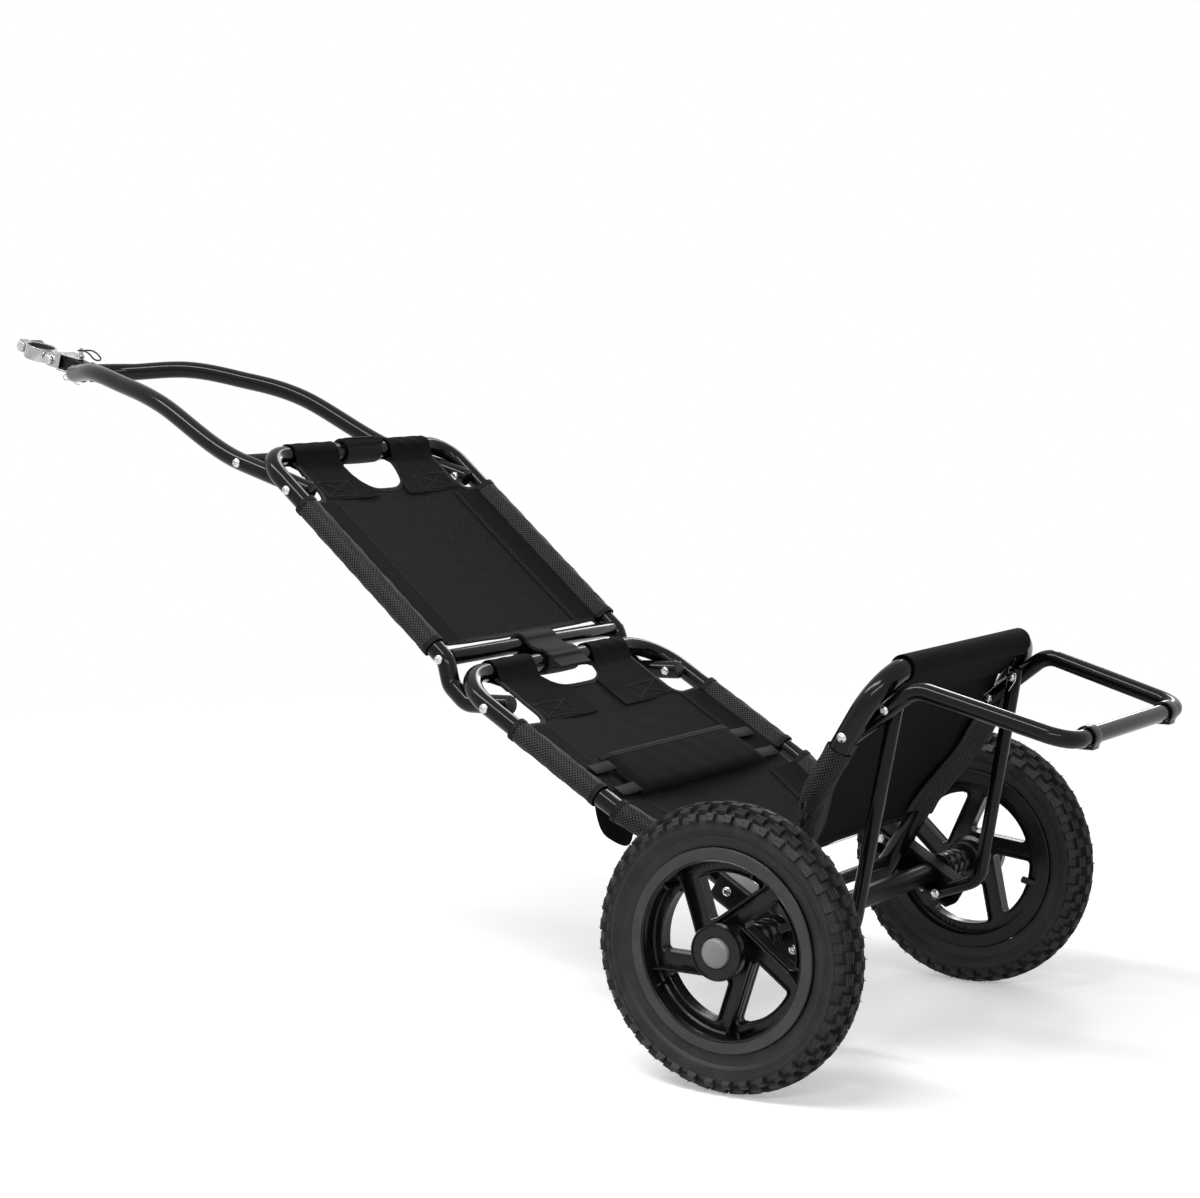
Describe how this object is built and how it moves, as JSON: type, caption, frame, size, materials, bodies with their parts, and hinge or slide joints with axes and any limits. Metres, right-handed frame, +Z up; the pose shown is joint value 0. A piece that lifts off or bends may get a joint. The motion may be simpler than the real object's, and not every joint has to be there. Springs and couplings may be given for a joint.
{
  "type": "bike cargo trailer",
  "caption": "Folding bicycle cargo trailer that doubles as a hand cart, with a hinged mesh-slung tube frame, fold-out platform with kickstand, moulded wheels and a seat-post hitch.",
  "frame": {"origin": "middle of the clamp that grips the bicycle's seat post", "axes": "+Y is the way it is towed, +Z is up, +X is to the right; the ground is 0.757 m below the origin"},
  "size_m": [0.651, 1.6126, 0.7747],
  "materials": {
    "black_paint": "gloss",
    "moulded_plastic": "satin",
    "button_plastic": "satin",
    "tyre_rubber": "matte",
    "liner_rubber": "matte",
    "chrome": "polished",
    "bright_steel": "satin",
    "black_webbing": "matte",
    "grey_mesh": "matte"
  },
  "bodies": {
    "lower_frame": {"lower_frame_tube": "black_paint", "wheel_bracket_left": "black_paint", "wheel_bracket_right": "black_paint", "axle_tube": "black_paint", "axle_housing_left": "moulded_plastic", "axle_housing_right": "moulded_plastic", "lower_sling": "grey_mesh", "storage_pocket": "black_webbing", "platform_pivot_bolt_left": "bright_steel", "platform_pivot_bolt_right": "bright_steel", "strut_foot_bolt_left": "bright_steel", "strut_foot_bolt_right": "bright_steel", "lower_pivot_bolt_left": "bright_steel", "lower_pivot_bolt_right": "bright_steel"},
    "upper_frame": {"upper_frame_tube": "black_paint", "upper_cross_tube": "black_paint", "upper_tie_rod": "bright_steel", "lower_strap": "black_webbing", "upper_panel": "grey_mesh", "drawbar_pivot_bolt_left": "bright_steel", "drawbar_pivot_bolt_right": "bright_steel"},
    "drawbar": {"drawbar_tube": "black_paint", "drawbar_cross_tube": "black_paint", "drawbar_tie_rod": "bright_steel", "upper_strap": "black_webbing", "tongue_block": "black_paint"},
    "platform": {"platform_tube": "black_paint", "platform_cross_bar": "black_paint", "platform_cover": "black_webbing", "stand_pivot_bolt_left": "bright_steel", "stand_pivot_bolt_right": "bright_steel"},
    "kickstand": {"kickstand_tube": "black_paint", "foot_clip_left": "moulded_plastic", "foot_clip_right": "moulded_plastic", "strut_head_bolt_left": "bright_steel", "strut_head_bolt_right": "bright_steel"},
    "struts": {"strut_left": "black_paint", "strut_right": "black_paint", "strut_nut_left": "bright_steel", "strut_nut_right": "bright_steel"},
    "wheel_unit_left": {"tyre_left": "tyre_rubber", "wheel_left": "moulded_plastic", "axle_pin_left": "bright_steel"},
    "wheel_unit_right": {"tyre_right": "tyre_rubber", "wheel_right": "moulded_plastic", "axle_pin_right": "bright_steel"},
    "button_left": {"release_button_left": "button_plastic"},
    "button_right": {"release_button_right": "button_plastic"},
    "hitch_yoke": {"yoke": "chrome", "yoke_bolt": "bright_steel"},
    "seat_clamp": {"clamp_jaw_left": "chrome", "clamp_jaw_right": "chrome", "clamp_liner_left": "liner_rubber", "clamp_liner_right": "liner_rubber", "clamp_screw": "bright_steel"},
    "knob": {"clamp_knob": "moulded_plastic"},
    "hitch_pin": {"lock_pin": "chrome"},
    "pin_loop": {"pin_bail": "moulded_plastic"}
  },
  "joints": [
    {"name": "upper_frame_fold", "type": "hinge", "parent": "lower_frame", "child": "upper_frame", "pos_m": [0, -0.88205, -0.38687], "axis": [1, 0, 0], "range_deg": [-95, 0], "deforming": ["lower_strap"]},
    {"name": "drawbar_fold", "type": "hinge", "parent": "upper_frame", "child": "drawbar", "pos_m": [0, -0.57903, -0.15366], "axis": [1, 0, 0], "range_deg": [-95, 0], "deforming": ["upper_strap"]},
    {"name": "platform_fold", "type": "hinge", "parent": "lower_frame", "child": "platform", "pos_m": [0, -1.20561, -0.58984], "axis": [1, 0, 0], "range_deg": [-71, 0]},
    {"name": "kickstand_fold", "type": "hinge", "parent": "platform", "child": "kickstand", "pos_m": [0, -1.32871, -0.38498], "axis": [1, 0, 0], "range_deg": [0, 100]},
    {"name": "strut_fold", "type": "hinge", "parent": "lower_frame", "child": "struts", "pos_m": [0, -1.26999, -0.62003], "axis": [1, 0, 0], "range_deg": [-58, 0]},
    {"name": "wheel_spin_left", "type": "hinge", "parent": "lower_frame", "child": "wheel_unit_left", "pos_m": [-0.291, -1.248, -0.602], "axis": [1, 0, 0], "continuous": true},
    {"name": "wheel_spin_right", "type": "hinge", "parent": "lower_frame", "child": "wheel_unit_right", "pos_m": [0.291, -1.248, -0.602], "axis": [1, 0, 0], "continuous": true},
    {"name": "release_press_left", "type": "slide", "parent": "wheel_unit_left", "child": "button_left", "axis": [1, 0, 0], "range_m": [0, 0.004], "stiffness_N_per_m": 600, "springref_m": -0.002},
    {"name": "release_press_right", "type": "slide", "parent": "wheel_unit_right", "child": "button_right", "axis": [-1, 0, 0], "range_m": [0, 0.004], "stiffness_N_per_m": 600, "springref_m": -0.002},
    {"name": "hitch_yaw", "type": "hinge", "parent": "drawbar", "child": "hitch_yoke", "pos_m": [0, -0.0679, -0.02076], "axis": [0, -0.2924, 0.9563], "range_deg": [-60, 60]},
    {"name": "hitch_pitch", "type": "hinge", "parent": "hitch_yoke", "child": "seat_clamp", "pos_m": [0, -0.02869, -0.00877], "axis": [1, 0, 0], "range_deg": [-45, 45]},
    {"name": "knob_turn", "type": "hinge", "parent": "seat_clamp", "child": "knob", "pos_m": [0, 0.02678, 0.00819], "axis": [1, 0, 0], "continuous": true},
    {"name": "pin_pull", "type": "slide", "parent": "hitch_yoke", "child": "hitch_pin", "axis": [0, -0.2924, 0.9563], "range_m": [0, 0.035]},
    {"name": "pin_bail_swing", "type": "hinge", "parent": "hitch_pin", "child": "pin_loop", "pos_m": [0, -0.07515, 0.00296], "axis": [1, 0, 0], "range_deg": [-100, 0]}
  ],
  "couplings": [
    {"joint": "kickstand_fold", "follows": "platform_fold", "ratio": -1.4071},
    {"joint": "strut_fold", "follows": "platform_fold", "ratio": 0.815}
  ]
}
